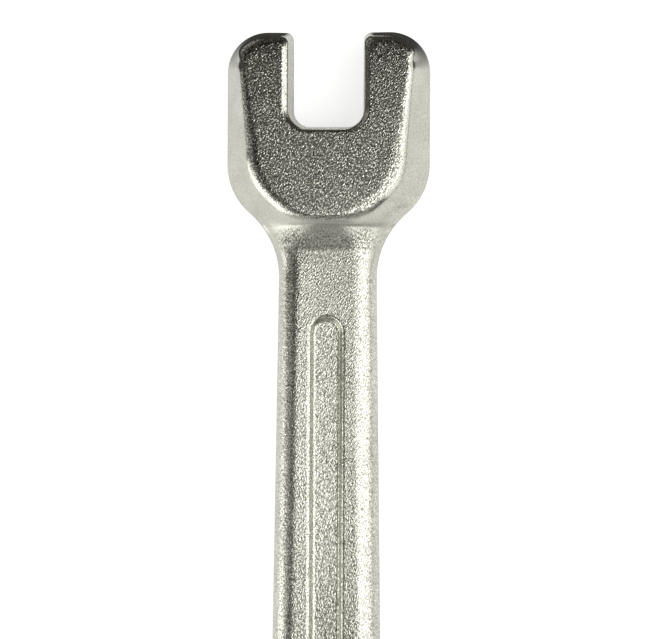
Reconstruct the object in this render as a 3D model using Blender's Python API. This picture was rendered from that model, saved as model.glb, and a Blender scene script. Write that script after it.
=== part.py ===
"""A double-ended lineman's wrench: one steel drop forging with an open jaw at each end.

The wrench lies flat along Y, the smaller jaw towards +Y, and rests on the flat pads of its two
heads at z = 0. Both halves of the forging meet on the parting plane, half way up, and every wall
leans inwards from there so that the forging left its dies.
"""

import math
from collections import namedtuple

import bmesh
import bpy
from mathutils import Vector

# Driving dimensions, in metres and radians
OVERALL_LENGTH = 0.346
HEAD_THICKNESS = 0.021
HANDLE_THICKNESS = 0.0100
TRIM_LAND = 0.0016  # upright band that trimming the flash leaves round the parting plane
WALL_DRAFT = math.radians(31)  # lean of the outer walls from upright
SLOT_DRAFT = math.radians(3)  # lean of the slot walls from upright
TIP_DRAFT = math.radians(6)  # lean of the tips' ends, which are trimmed nearly upright
TIP_SPREAD = 0.86  # how far the side walls come in at the tips, against the handle's own walls
SIDE_SPREAD = 1.28  # the same at the shoulders
REAR_SPREAD = 0.60  # and for the short wall at the back of the pad
PAD_EDGE_RADIUS = 0.0040
SLOT_EDGE_RADIUS = 0.0022
TIP_EDGE_RADIUS = 0.0030
HANDLE_EDGE_RADIUS = 0.0050
SHOULDER_ANGLE = math.radians(49)  # between the shoulders and the handle's axis
PAD_BACK = 0.0022  # from where the shoulders reach the handle's width forward to the foot of that wall
PAD_REAR_RADIUS = 0.0134  # corners where the shoulders meet the back of the head
NECK_RADIUS = 0.0256  # hollow curve from the shoulders into the handle
NECK_CROSSING = math.radians(8)  # by which that curve stops short of the shoulders' slope
NECK_STEP = 0.0011  # from the pad down to the top of the neck behind it
NECK_SLOPE = math.radians(28)  # at which the neck falls to the handle's face
NECK_FOOT_RADIUS = 0.0060  # hollow curve between that slope and the handle's face
NECK_CROWN = 0.9  # share of what makes it thicker than the handle that the neck loses towards its sides

SMALL_OPENING = 0.0208
SMALL_SLOT_DEPTH = 0.0277
SMALL_SLOT_RADIUS = 0.0050
SMALL_ARM_WIDTH = 0.0191
SMALL_THROAT = 0.0192  # slot bottom to where the sides turn in to the shoulders
SMALL_TIP_RADIUS = 0.0116
SMALL_NOSE_RADIUS = 0.0023  # inner corner of each tip
SMALL_SHOULDER_RADIUS = 0.0188
SMALL_HANDLE_WIDTH = 0.0280

LARGE_OPENING = 0.0258
LARGE_SLOT_DEPTH = 0.0330
LARGE_SLOT_RADIUS = 0.0060
LARGE_ARM_WIDTH = 0.0222
LARGE_THROAT = 0.0222
LARGE_TIP_RADIUS = 0.0134
LARGE_NOSE_RADIUS = 0.0026
LARGE_SHOULDER_RADIUS = 0.0220
LARGE_HANDLE_WIDTH = 0.0340

RECESS_FLOOR_WIDTH = 0.0052
RECESS_DEPTH = 0.0018
RECESS_WALL_SLOPE = math.radians(45)
RECESS_LIP_RADIUS = 0.0030  # round which the handle's face rolls over into the recess
RECESS_FLOOR_RADIUS = 0.0008
RECESS_SETBACK = 0.0248  # from the back of each head to the round end of the recess's floor

# How finely curves are cut into chords
TIP_CHORDS = 6
NOSE_CHORDS = 4
SHOULDER_CHORDS = 6
REAR_CHORDS = 5
SLOT_CHORDS = 6
EDGE_CHORDS = 4
CROWN_CHORDS = 2
NECK_STATIONS = 12
BURIED_STATIONS = 3
LIP_CHORDS = 3
RECESS_CHORDS = 12

# Room that helpers take beyond the surfaces they join or cut
BURIED = 0.012
CUTTER_MARGIN = 0.001

# The most that roundings may take
ARC_SHARE = 0.49  # of a side of an outline, for the rounded corner at one of its ends
EDGE_SHARE = 0.9  # of half a section's width, for one of its leaning sides

Jaw = namedtuple(
    "Jaw",
    "end opening slot_depth slot_radius arm_width throat"
    " tip_radius nose_radius shoulder_radius handle_width",
)
SMALL_JAW = Jaw(
    1,
    SMALL_OPENING,
    SMALL_SLOT_DEPTH,
    SMALL_SLOT_RADIUS,
    SMALL_ARM_WIDTH,
    SMALL_THROAT,
    SMALL_TIP_RADIUS,
    SMALL_NOSE_RADIUS,
    SMALL_SHOULDER_RADIUS,
    SMALL_HANDLE_WIDTH,
)
LARGE_JAW = Jaw(
    -1,
    LARGE_OPENING,
    LARGE_SLOT_DEPTH,
    LARGE_SLOT_RADIUS,
    LARGE_ARM_WIDTH,
    LARGE_THROAT,
    LARGE_TIP_RADIUS,
    LARGE_NOSE_RADIUS,
    LARGE_SHOULDER_RADIUS,
    LARGE_HANDLE_WIDTH,
)


def half_head_width(jaw):
    return jaw.opening / 2 + jaw.arm_width


def shoulder_start(jaw):
    """Distance from the tips to where the sides turn in, before rounding."""
    return jaw.slot_depth + jaw.throat


def head_length(jaw):
    """Distance from the tips to the back of the head, where the shoulders reach the handle's width."""
    turned_in = half_head_width(jaw) - jaw.handle_width / 2
    return shoulder_start(jaw) + turned_in / math.tan(SHOULDER_ANGLE)


def along(jaw, from_tip):
    """The Y of a place this far from a jaw's tips."""
    return jaw.end * (OVERALL_LENGTH / 2 - from_tip)


def rounded(corners):
    """A closed outline through (x, y, radius, chords) corners, each turned into an arc of chords.

    An arc takes at most half of the shorter side next to it, so neighbouring arcs never cross.
    """
    points = []
    for i, (x, y, radius, chords) in enumerate(corners):
        corner = Vector((x, y))
        to_last = Vector(corners[i - 1][:2]) - corner
        to_next = Vector(corners[(i + 1) % len(corners)][:2]) - corner
        half_angle = to_last.angle(to_next) / 2
        room = ARC_SHARE * min(to_last.length, to_next.length)
        reach = min(radius / math.tan(half_angle), room)
        radius = reach * math.tan(half_angle)
        towards = (to_last.normalized() + to_next.normalized()).normalized()
        centre = corner + towards * radius / math.sin(half_angle)
        start = (corner + to_last.normalized() * reach - centre).normalized()
        finish = (corner + to_next.normalized() * reach - centre).normalized()
        points += [centre + start.slerp(finish, k / chords) * radius for k in range(chords + 1)]
    return points


def wall_profile(half_thickness, edge_radius):
    """(come_in, height) up an outer wall: straight from the trim land, then rounded into the flat face."""
    edge_height = half_thickness - edge_radius * (1 - math.sin(WALL_DRAFT))
    edge_in = (edge_height - TRIM_LAND / 2) * math.tan(WALL_DRAFT)
    profile = [(0, TRIM_LAND / 2)]
    for k in range(EDGE_CHORDS + 1):
        lean = WALL_DRAFT + (math.pi / 2 - WALL_DRAFT) * k / EDGE_CHORDS
        come_in = edge_in + edge_radius * (math.cos(WALL_DRAFT) - math.cos(lean))
        profile.append((come_in, edge_height + edge_radius * (math.sin(lean) - math.sin(WALL_DRAFT))))
    return profile


def leaned_in(height, draft, edge_radius):
    """How far a straight wall has moved at a height above the parting plane, its top edge rounded."""
    half_thickness = HEAD_THICKNESS / 2
    edge_start = half_thickness - edge_radius * (1 - math.sin(draft))
    moved = max(min(height, edge_start) - TRIM_LAND / 2, 0) * math.tan(draft)
    if height <= edge_start:
        return moved
    rise = min((height - half_thickness) / edge_radius + 1, 1)
    return moved + edge_radius * (math.cos(draft) - math.sqrt(1 - rise * rise))


def head_outline(jaw, wall, height):
    """A head seen from above, its outer walls come in by wall at a height above the parting plane."""
    tip = leaned_in(height, TIP_DRAFT, TIP_EDGE_RADIUS)
    slot = leaned_in(height, SLOT_DRAFT, SLOT_EDGE_RADIUS)
    slot_side = jaw.opening / 2 + slot
    side = half_head_width(jaw)
    shoulder = shoulder_start(jaw) - wall * SIDE_SPREAD * math.tan(SHOULDER_ANGLE / 2)
    rear = head_length(jaw) - PAD_BACK - wall * REAR_SPREAD
    run = math.sin(SHOULDER_ANGLE) * (rear - shoulder_start(jaw))
    rear_side = side - (wall * SIDE_SPREAD + run) / math.cos(SHOULDER_ANGLE)
    right = [
        (slot_side, jaw.slot_depth + slot, jaw.slot_radius + slot, SLOT_CHORDS),
        (slot_side, tip, jaw.nose_radius, NOSE_CHORDS),
        (side - wall * TIP_SPREAD, tip, jaw.tip_radius, TIP_CHORDS),
        (side - wall * SIDE_SPREAD, shoulder, jaw.shoulder_radius, SHOULDER_CHORDS),
        (rear_side, rear, PAD_REAR_RADIUS, REAR_CHORDS),
    ]
    left = [(-x, y, radius, chords) for x, y, radius, chords in reversed(right)]
    return [(x, along(jaw, from_tip)) for x, from_tip in rounded(right + left)]


def head_rings(jaw):
    """The head's outlines from its lower pad up to its upper pad."""
    upper = wall_profile(HEAD_THICKNESS / 2, PAD_EDGE_RADIUS)
    lower = [(wall, -height) for wall, height in reversed(upper)]
    rings = []
    for wall, z in lower + upper:
        outline = head_outline(jaw, wall, abs(z))
        rings.append([(x, y, z) for x, y in outline])
    return rings


def handle_half_width(y):
    """The handle tapers evenly from the back of one head to the back of the other."""
    small_end = along(SMALL_JAW, head_length(SMALL_JAW))
    large_end = along(LARGE_JAW, head_length(LARGE_JAW))
    share = (y - large_end) / (small_end - large_end)
    return (LARGE_HANDLE_WIDTH + (SMALL_HANDLE_WIDTH - LARGE_HANDLE_WIDTH) * share) / 2


def neck_flare(behind):
    """How much wider than the handle the neck is, and how much more its walls lean, behind the head.

    The hollow curve stops a little short of the shoulders' own slope, so that it crosses their wall.
    """
    crossing_angle = SHOULDER_ANGLE - NECK_CROSSING
    reach = NECK_RADIUS * math.tan(SHOULDER_ANGLE / 2) - behind
    bend = NECK_RADIUS * math.sin(crossing_angle)
    on_curve = min(max(reach, 0), bend)
    beyond = max(reach - bend, 0)
    flare = NECK_RADIUS - math.sqrt(NECK_RADIUS**2 - on_curve**2) + beyond * math.tan(crossing_angle)
    turned = math.asin(on_curve / NECK_RADIUS)
    spread = 1 + (SIDE_SPREAD - 1) * on_curve / bend
    return flare, spread / math.cos(turned)


def neck_crest():
    """(behind, height) of the line where the neck starts, on the rounded edge at the pad's back."""
    height = max(HEAD_THICKNESS / 2 - NECK_STEP, HANDLE_THICKNESS / 2)
    pad_edge = wall_profile(HEAD_THICKNESS / 2, PAD_EDGE_RADIUS)
    lean = math.asin(max(1 - NECK_STEP / PAD_EDGE_RADIUS, math.sin(WALL_DRAFT)))
    come_in = pad_edge[-1][0] - PAD_EDGE_RADIUS * math.cos(lean)
    return -PAD_BACK - REAR_SPREAD * come_in, height


def neck_foot():
    """How far behind the head the neck's slope would meet the handle's face, if no curve joined them."""
    start, crest = neck_crest()
    return start + (crest - HANDLE_THICKNESS / 2) / math.tan(NECK_SLOPE)


def neck_height(behind):
    """Half the neck's thickness: a straight slope from the pad's edge, with a hollow curve at its foot.

    Inside the head it falls away again, so that the shoulders' walls cover it.
    """
    start, crest = neck_crest()
    lowest = HANDLE_THICKNESS / 2
    if behind < start:
        return max(crest + behind - start, lowest)
    to_foot = neck_foot() - behind
    curve = NECK_FOOT_RADIUS * math.tan(NECK_SLOPE / 2)
    if to_foot > curve * math.cos(NECK_SLOPE):
        return lowest + to_foot * math.tan(NECK_SLOPE)
    on_curve = max(to_foot + curve, 0)
    return min(lowest + NECK_FOOT_RADIUS - math.sqrt(NECK_FOOT_RADIUS**2 - on_curve**2), crest)


def handle_section(y, half_width, half_thickness, spread=1):
    """A section across the handle: two faces between leaning sides, which come in spread times as far.

    The thicker it is, the wider its edges are rounded and the more its faces fall away to the sides, and a
    tenth of its width at least lies between the edges.
    """
    profile = wall_profile(half_thickness, HANDLE_EDGE_RADIUS * half_thickness / (HANDLE_THICKNESS / 2))
    spread = min(spread, EDGE_SHARE * half_width / profile[-1][0])
    inner = half_width - spread * profile[-1][0]
    across = [half_width - spread * come_in for come_in, z in profile]
    across += [inner * (1 - k / CROWN_CHORDS) for k in range(1, CROWN_CHORDS)]
    heights = [z for come_in, z in profile] + [half_thickness] * (CROWN_CHORDS - 1)
    crown = NECK_CROWN * (half_thickness - HANDLE_THICKNESS / 2) / half_thickness
    upper = [(x, z * (1 - crown * (x / half_width) ** 2)) for x, z in zip(across, heights)]
    right = [(x, -z) for x, z in reversed(upper)] + upper
    left = [(-x, z) for x, z in reversed(right)]
    return [(x, y, z) for x, z in right + left]


def neck_sections(jaw):
    """Sections from inside a head out to where its neck has become the handle."""
    crest = neck_crest()[0]
    foot_end = neck_foot() + NECK_FOOT_RADIUS * math.tan(NECK_SLOPE / 2)
    finish = max(NECK_RADIUS * math.tan(SHOULDER_ANGLE / 2), foot_end)
    buried_y = along(jaw, head_length(jaw) + crest - BURIED)
    sections = [handle_section(buried_y, jaw.handle_width / 2, HANDLE_THICKNESS / 2)]
    for k in range(-BURIED_STATIONS, NECK_STATIONS + 1):
        if k < 0:
            behind = crest + BURIED / 2 * k / BURIED_STATIONS
        else:
            behind = crest + (finish - crest) * k / NECK_STATIONS
        y = along(jaw, head_length(jaw) + behind)
        flare, spread = neck_flare(behind)
        width = handle_half_width(y) + flare
        sections.append(handle_section(y, width, neck_height(behind), spread))
    return sections


def recess_rings(face):
    """Stadium outlines of the long recess in one face of the handle, from above the face to its floor."""
    floor = RECESS_FLOOR_WIDTH / 2
    surface = HANDLE_THICKNESS / 2
    wall_foot = floor + RECESS_FLOOR_RADIUS * math.sin(RECESS_WALL_SLOPE)
    wall_bottom = RECESS_DEPTH - RECESS_FLOOR_RADIUS * (1 - math.cos(RECESS_WALL_SLOPE))
    rolled = RECESS_LIP_RADIUS * (1 - math.cos(RECESS_WALL_SLOPE))
    wall_top = wall_foot + max(wall_bottom - rolled, 0) / math.tan(RECESS_WALL_SLOPE)
    lip = wall_top + RECESS_LIP_RADIUS * math.sin(RECESS_WALL_SLOPE)
    profile = []
    for k in range(1, LIP_CHORDS + 1):
        slope = RECESS_WALL_SLOPE * k / LIP_CHORDS
        deep = min(RECESS_LIP_RADIUS * (1 - math.cos(slope)), wall_bottom * k / (LIP_CHORDS + 1))
        profile.append((lip - RECESS_LIP_RADIUS * math.sin(slope), surface - deep))
    first_radius, first_z = profile[0]
    above = surface + CUTTER_MARGIN
    profile.insert(0, (first_radius + (above - first_z) / math.tan(RECESS_WALL_SLOPE / LIP_CHORDS), above))
    profile.append((wall_foot, surface - wall_bottom))
    profile.append((floor, surface - RECESS_DEPTH))
    far = along(SMALL_JAW, head_length(SMALL_JAW) + RECESS_SETBACK + wall_foot)
    near = along(LARGE_JAW, head_length(LARGE_JAW) + RECESS_SETBACK + wall_foot)
    rings = []
    for radius, z in profile:
        ring = []
        for centre, turned in ((far, 0), (near, math.pi)):
            for k in range(RECESS_CHORDS + 1):
                angle = turned + math.pi * k / RECESS_CHORDS
                ring.append((radius * math.cos(angle), centre + radius * math.sin(angle), face * z))
        rings.append(ring)
    return rings


def loft(name, rings, collection):
    """A closed solid through rings of equally many points, with a flat face over each end."""
    shape = bmesh.new()
    loops = [[shape.verts.new(point) for point in ring] for ring in rings]
    for lower, upper in zip(loops, loops[1:]):
        for i in range(len(lower)):
            j = (i + 1) % len(lower)
            shape.faces.new((lower[i], lower[j], upper[j], upper[i]))
    shape.faces.new(loops[0])
    shape.faces.new(loops[-1])
    bmesh.ops.recalc_face_normals(shape, faces=shape.faces)
    mesh = bpy.data.meshes.new(name)
    shape.to_mesh(mesh)
    shape.free()
    made = bpy.data.objects.new(name, mesh)
    made.location.z = HEAD_THICKNESS / 2
    collection.objects.link(made)
    return made


def new_collection(name):
    made = bpy.data.collections.new(name)
    bpy.context.scene.collection.children.link(made)
    return made


def helper(name, rings, collection):
    """A solid that only joins or cuts another one."""
    made = loft(name, rings, collection)
    made.hide_render = True
    made.display_type = "WIRE"
    return made


def combine(body, other, operation):
    modifier = body.modifiers.new(other.name, "BOOLEAN")
    modifier.operation = operation
    modifier.object = other
    modifier.solver = "EXACT"


def plated_steel():
    """Bright plating over a shot-blasted forging."""
    material = bpy.data.materials.new("plated_forged_steel")
    material.use_nodes = True
    shader = material.node_tree.nodes["Principled BSDF"]
    shader.inputs["Base Color"].default_value = (0.60, 0.59, 0.56, 1)
    shader.inputs["Metallic"].default_value = 1
    shader.inputs["Roughness"].default_value = 0.38
    return material


def build_wrench():
    for old in list(bpy.data.objects):
        bpy.data.objects.remove(old)
    parts = new_collection("linemans_wrench")
    helpers = new_collection("wrench_helpers")

    sections = neck_sections(SMALL_JAW) + neck_sections(LARGE_JAW)[::-1]
    body = loft("forged_body", sections, parts)
    body.data.materials.append(plated_steel())
    combine(body, helper("small_head", head_rings(SMALL_JAW), helpers), "UNION")
    combine(body, helper("large_head", head_rings(LARGE_JAW), helpers), "UNION")
    combine(body, helper("upper_recess", recess_rings(1), helpers), "DIFFERENCE")
    combine(body, helper("lower_recess", recess_rings(-1), helpers), "DIFFERENCE")


build_wrench()
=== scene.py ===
# %% [markdown]
# # A forged lineman's wrench
# A lineman's wrench is hammered from one red-hot bar between two dies, trimmed, shot-blasted and plated.
# Nothing on it moves and nothing is screwed to it, so all of its looks lie in one skin: how the walls lean,
# how the edges roll over, and how the blasted grain catches the light. Such a skin could be sculpted, or
# boxed up and subdivided. Here it is worked out as heights over a plan, because a die is cut that way too:
# an outline, a lean for the walls, a radius for the edges. Each is then one number. The packed solid gives
# the place and the size, and this script lays a finer skin over it.

# %% Load the packed wrench
import math
from types import SimpleNamespace

import bpy
import numpy as np
from mathutils import Matrix, Vector


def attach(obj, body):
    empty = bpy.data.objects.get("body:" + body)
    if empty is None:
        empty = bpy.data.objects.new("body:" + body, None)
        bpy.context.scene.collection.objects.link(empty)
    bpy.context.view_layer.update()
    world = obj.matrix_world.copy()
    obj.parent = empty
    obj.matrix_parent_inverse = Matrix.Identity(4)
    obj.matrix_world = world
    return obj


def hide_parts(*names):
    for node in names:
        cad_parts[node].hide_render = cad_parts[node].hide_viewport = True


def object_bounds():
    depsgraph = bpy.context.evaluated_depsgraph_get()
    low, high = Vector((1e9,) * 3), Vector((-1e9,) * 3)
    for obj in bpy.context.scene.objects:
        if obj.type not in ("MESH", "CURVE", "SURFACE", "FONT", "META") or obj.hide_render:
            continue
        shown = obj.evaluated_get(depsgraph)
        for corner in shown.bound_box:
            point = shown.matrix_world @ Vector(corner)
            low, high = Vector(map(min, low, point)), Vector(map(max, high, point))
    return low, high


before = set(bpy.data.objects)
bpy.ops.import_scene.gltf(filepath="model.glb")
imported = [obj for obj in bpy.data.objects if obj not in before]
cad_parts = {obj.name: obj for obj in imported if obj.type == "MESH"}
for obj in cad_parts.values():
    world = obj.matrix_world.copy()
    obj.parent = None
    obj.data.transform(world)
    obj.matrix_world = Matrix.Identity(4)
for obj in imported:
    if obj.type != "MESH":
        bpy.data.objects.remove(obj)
cad_low, cad_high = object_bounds()
NODE = "forged_body"
LENGTH = cad_high.y - cad_low.y
HEAD_HALF = (cad_high.z - cad_low.z) / 2
print("wrench box in mm:", [round(1000 * side, 1) for side in cad_high - cad_low])

# %% [markdown]
# ## Sizes of the forging
# The two dies meet on the parting plane, half way up the heads. Seen from above, the outline on that plane is
# the widest one, and every wall leans inwards from it, so that the forging can be lifted out of the die. A
# spread says how many times as far as that lean a wall comes in: more at the sides, less behind the pad.
# The outline and the thicknesses are the solid's own. The edges are shaped more finely here: tips and handle
# are rolled more softly, and the recess has a narrower rim. Lengths are in metres and angles in radians.

# %% Walls and edges of the heads
TRIM_LAND = 0.0016
FLASH_PROUD = 0.00018
WALL_LEAN = math.radians(31)
TIP_SPREAD = 0.77
SIDE_SPREAD = 1.28
REAR_SPREAD = 0.60
SHOULDER_ANGLE = math.radians(49)
PAD_BACK = 0.0022
PAD_EDGE = 0.0040
PAD_REAR_RADIUS = 0.0134
slot_wall = SimpleNamespace(
    lean=math.radians(4.5), roll=0.0006, slope=math.radians(30), bevel=0.0006, corner=0.0010,
)
tip_wall = SimpleNamespace(
    lean=math.radians(12), roll=0.0042, slope=math.radians(40), bevel=0, corner=0.0008,
)
print(f"head walls lean {math.degrees(WALL_LEAN):.0f} degrees up to pads {2000 * HEAD_HALF:.0f} mm apart")

# %% Neck, handle and recess
HANDLE_HALF = 0.0050
HANDLE_EDGE = 0.0068
HANDLE_SHARE = 0.64
HANDLE_DISH = 0.060
NECK_RADIUS = 0.0256
NECK_CROSSING = math.radians(8)
NECK_STEP = 0.0011
NECK_SLOPE = math.radians(28)
NECK_FOOT_RADIUS = 0.0060
NECK_CROWN = 0.9
BURIED_DEPTH = 0.004
BURIED_FALL = 2
CREASE_FILLET = 0.0020
RECESS_FLOOR = 0.0032
RECESS_DEPTH = 0.0018
RECESS_SLOPE = math.radians(55)
RECESS_LIP_RADIUS = 0.0012
RECESS_FLOOR_RADIUS = 0.0008
RECESS_SETBACK = 0.0234
print(f"handle {2000 * HANDLE_HALF:.0f} mm thick, its recess {1000 * RECESS_DEPTH:.1f} mm deep")

# %% The two jaws
small_jaw = SimpleNamespace(
    end=1, opening=0.0208, slot_depth=0.0277, slot_radius=0.0050, arm=0.0191, throat=0.0192,
    tip_radius=0.0116, nose_radius=0.0023, shoulder_radius=0.0188, handle_half=0.0140,
)
large_jaw = SimpleNamespace(
    end=-1, opening=0.0258, slot_depth=0.0330, slot_radius=0.0060, arm=0.0222, throat=0.0222,
    tip_radius=0.0134, nose_radius=0.0026, shoulder_radius=0.0220, handle_half=0.0170,
)
JAWS = (small_jaw, large_jaw)
for jaw in JAWS:
    jaw.half = jaw.opening / 2 + jaw.arm
    jaw.shoulder = jaw.slot_depth + jaw.throat
    jaw.side_end = jaw.shoulder - jaw.shoulder_radius * math.tan(SHOULDER_ANGLE / 2)
    jaw.length = jaw.shoulder + (jaw.half - jaw.handle_half) / math.tan(SHOULDER_ANGLE)
    jaw.neck_end = jaw.length + NECK_RADIUS * math.tan(SHOULDER_ANGLE / 2)
    print(f"jaw {1000 * jaw.opening:.1f} mm wide in a head {2000 * jaw.half:.1f} mm across")

# %% [markdown]
# ## The parting line
# Half of the outline runs from the middle of one slot's bottom, up the slot wall, over the tip, down the
# side, round the shoulder, through the neck and along the handle to the other jaw. It is a chain of
# straight stretches and arcs. Each point also carries three moves: how it shifts when the side walls come
# in by one unit, when the slot walls draw apart by one unit and when the tips' ends come in by one unit. An
# inset tool would draw all walls in by one amount, and a forging's walls don't do that: the slot is nearly
# upright and the sides lean far. With the moves, a level of the wall is the outline plus three multiples.

# %% Straight stretches and arcs
STILL = ((0, 0), (0, 0))
FINE_STEPS = 4000
PLACE, WALL, SLOT, TIP = (slice(first, first + 2) for first in (0, 2, 4, 6))


def smooth_step(value, low, high):
    """0 below low, 1 above high, and the cubic t t (3 - 2 t) between them."""
    share = np.clip((value - low) / (high - low), 0, 1)
    return share * share * (3 - 2 * share)


def even(steps):
    """Shares from 0 to 1 in so many even steps."""
    return np.linspace(0, 1, steps + 1)


def blend(pair, share):
    """Row by row, the first of a pair of vectors turning into the second: (1 - t) first + t second."""
    first, last = (np.asarray(value, float) for value in pair)
    return (1 - share[:, None]) * first + share[:, None] * last


def straight(start, stop, share, wall=STILL, slot=STILL, tip=STILL):
    """Points start + t (stop - start) for each share t, with the three moves blended the same way."""
    return np.hstack([blend(pair, share) for pair in ((start, stop), wall, slot, tip)])


def arc(centre, radius, angles, share, wall=STILL, slot=STILL, tip=STILL, swell=STILL + ((0, 0),)):
    """Points centre + radius (cos a, sin a); a swell adds multiples of (cos a, sin a) to the moves."""
    angle = angles[0] + (angles[1] - angles[0]) * share
    radial = np.column_stack([np.cos(angle), np.sin(angle)])
    eased = smooth_step(share, 0, 1)
    moves = [
        blend(pair, share) + np.interp(eased, (0, 1), growth)[:, None] * radial
        for pair, growth in zip((wall, slot, tip), swell)
    ]
    return np.hstack([np.asarray(centre) + radius * radial, *moves])


def spread(start, stop, steps, crowded):
    """steps + 1 values from start to stop, closer together near each (place, width, gain) in crowded."""
    fine = np.linspace(start, stop, FINE_STEPS + 1)
    weight = np.ones_like(fine)
    for place, width, gain in crowded:
        weight += gain * np.exp(-(((fine - place) / width) ** 2))
    travelled = np.concatenate([[0], np.cumsum((weight[1:] + weight[:-1]) / 2)])
    return np.interp(np.linspace(0, travelled[-1], steps + 1), travelled, fine)


print("eased half way:", float(smooth_step(np.array(0.5), 0, 1)))

# %% How many points each stretch gets
# The head's outer side gets a few points fewer than the slot, so that the rows between them don't cross.
steps = SimpleNamespace(
    slot_bottom=6, slot_corner=10, slot_wall=25, nose=6, across=26, tip_corner=9, tip_turn=9, tip_side=3,
    side=22, shoulder=20, slant=6, neck=44, handle=140,
)
SLOT_COUNT = steps.slot_bottom + steps.slot_corner + steps.slot_wall + steps.nose
HEAD_SIDE_COUNT = steps.tip_corner + steps.tip_turn + steps.tip_side + steps.side
SIDE_COUNT = HEAD_SIDE_COUNT + steps.shoulder + steps.slant + steps.neck
LIP_CROWDING = (0.5, 0.2, 1.5)
across_share = spread(0, 1, steps.across, [LIP_CROWDING])
print("points up a slot wall:", SLOT_COUNT, "and down a head's side:", HEAD_SIDE_COUNT)

# %% One jaw's half outline, from the slot's bottom to the end of the neck
TIP_TURN = (math.radians(-44), math.radians(-12))
TIP_WIDENING = 1.2
SLOT_END_SHARE = 0.45
QUARTER = math.pi / 2


def slot_and_tip(jaw):
    """Half the slot's bottom, its corner, its wall, the small nose at the mouth and the tip's flat end."""
    half_slot = jaw.opening / 2
    inner = half_slot - jaw.slot_radius
    none, outwards, back, part_back = (0, 0), (1, 0), (0, 1), (0, SLOT_END_SHARE)
    return [
        straight((0, jaw.slot_depth), (inner, jaw.slot_depth), even(steps.slot_bottom),
                 tip=(part_back, part_back)),
        arc((inner, jaw.slot_depth - jaw.slot_radius), jaw.slot_radius, (QUARTER, 0), even(steps.slot_corner),
            swell=((0, 0), (0, 1), (SLOT_END_SHARE, 0))),
        straight((half_slot, jaw.slot_depth - jaw.slot_radius), (half_slot, jaw.nose_radius),
                 even(steps.slot_wall), slot=(outwards, outwards), tip=(none, back)),
        arc((half_slot + jaw.nose_radius, jaw.nose_radius), jaw.nose_radius, (2 * QUARTER, 3 * QUARTER),
            even(steps.nose), slot=(outwards, outwards), tip=(back, back)),
        straight((half_slot + jaw.nose_radius, 0), (jaw.half - jaw.tip_radius, 0), 1 - across_share[::-1],
                 slot=(outwards, none), tip=(back, back)),
    ]


def side_and_neck(jaw):
    """The tip's rounded corner, where tip moves give way to wall moves, then side, shoulder and neck."""
    angle = SHOULDER_ANGLE
    tip_centre = (jaw.half - jaw.tip_radius, jaw.tip_radius)
    shoulder_centre = (jaw.half - jaw.shoulder_radius, jaw.side_end)
    shoulder_end = (
        shoulder_centre[0] + jaw.shoulder_radius * math.cos(angle),
        shoulder_centre[1] + jaw.shoulder_radius * math.sin(angle),
    )
    neck_centre = (jaw.handle_half + NECK_RADIUS, jaw.neck_end)
    neck_start = (
        neck_centre[0] - NECK_RADIUS * math.cos(angle),
        neck_centre[1] - NECK_RADIUS * math.sin(angle),
    )
    at_tip = (-TIP_SPREAD, 0)
    at_shoulder = (-SIDE_SPREAD, -SIDE_SPREAD * math.tan(angle / 2))
    at_handle = (-HANDLE_SHARE, 0)
    return [
        arc(tip_centre, jaw.tip_radius, (-QUARTER, TIP_TURN[0]), even(steps.tip_corner),
            swell=((0, 0), (0, 0), (-1, -TIP_WIDENING))),
        arc(tip_centre, jaw.tip_radius, TIP_TURN, even(steps.tip_turn),
            swell=((0, -TIP_SPREAD), (0, 0), (-TIP_WIDENING, 0))),
        arc(tip_centre, jaw.tip_radius, (TIP_TURN[1], 0), even(steps.tip_side),
            swell=((-TIP_SPREAD, -TIP_SPREAD), (0, 0), (0, 0))),
        straight((jaw.half, jaw.tip_radius), (jaw.half, jaw.side_end), even(steps.side),
                 wall=(at_tip, at_shoulder)),
        arc(shoulder_centre, jaw.shoulder_radius, (0, angle), even(steps.shoulder),
            wall=(at_shoulder, at_shoulder)),
        straight(shoulder_end, neck_start, even(steps.slant), wall=(at_shoulder, at_shoulder)),
        arc(neck_centre, NECK_RADIUS, (math.pi + angle, math.pi), even(steps.neck),
            wall=(at_shoulder, at_handle)),
    ]


def jaw_outline(jaw):
    """Rows of x, distance from the tips, and the wall, slot and tip moves; shared ends are kept once."""
    stretches = slot_and_tip(jaw) + side_and_neck(jaw)
    return np.vstack([stretches[0]] + [stretch[1:] for stretch in stretches[1:]])


print("points round half a jaw:", len(jaw_outline(small_jaw)))

# %% The handle's sides
def handle_half_width(y):
    """The handle's sides are straight and draw apart evenly towards the larger head."""
    ends = [jaw.end * (LENGTH / 2 - jaw.length) for jaw in (large_jaw, small_jaw)]
    return np.interp(y, ends, [large_jaw.handle_half, small_jaw.handle_half])


RECESS_END_INSIDE = 0.003
RECESS_END_CROWDING = (0.006, 6)
RECESS_ENDS = [jaw.end * (LENGTH / 2 - jaw.length - RECESS_SETBACK) for jaw in JAWS]
neck_ends = [jaw.end * (LENGTH / 2 - jaw.neck_end) for jaw in JAWS]
recess_crowding = [
    (end - jaw.end * RECESS_END_INSIDE, *RECESS_END_CROWDING) for jaw, end in zip(JAWS, RECESS_ENDS)
]
handle_y = spread(neck_ends[0], neck_ends[1], steps.handle, recess_crowding)
inner_y = handle_y[1:-1]
handle_chain = np.zeros((len(inner_y), 8))
handle_chain[:, 0] = handle_half_width(inner_y)
handle_chain[:, 1] = inner_y
handle_chain[:, 2] = -HANDLE_SHARE
print(f"handle {1000 * (neck_ends[0] - neck_ends[1]):.0f} mm long between the necks")

# %% Half of the whole outline
def to_frame(jaw, chain):
    """Distances from a jaw's tips become Y in the wrench's own frame, and so do the moves along it."""
    placed = chain.copy()
    placed[:, 1] = jaw.end * (LENGTH / 2 - chain[:, 1])
    placed[:, 3::2] = -jaw.end * chain[:, 3::2]
    return placed


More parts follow.
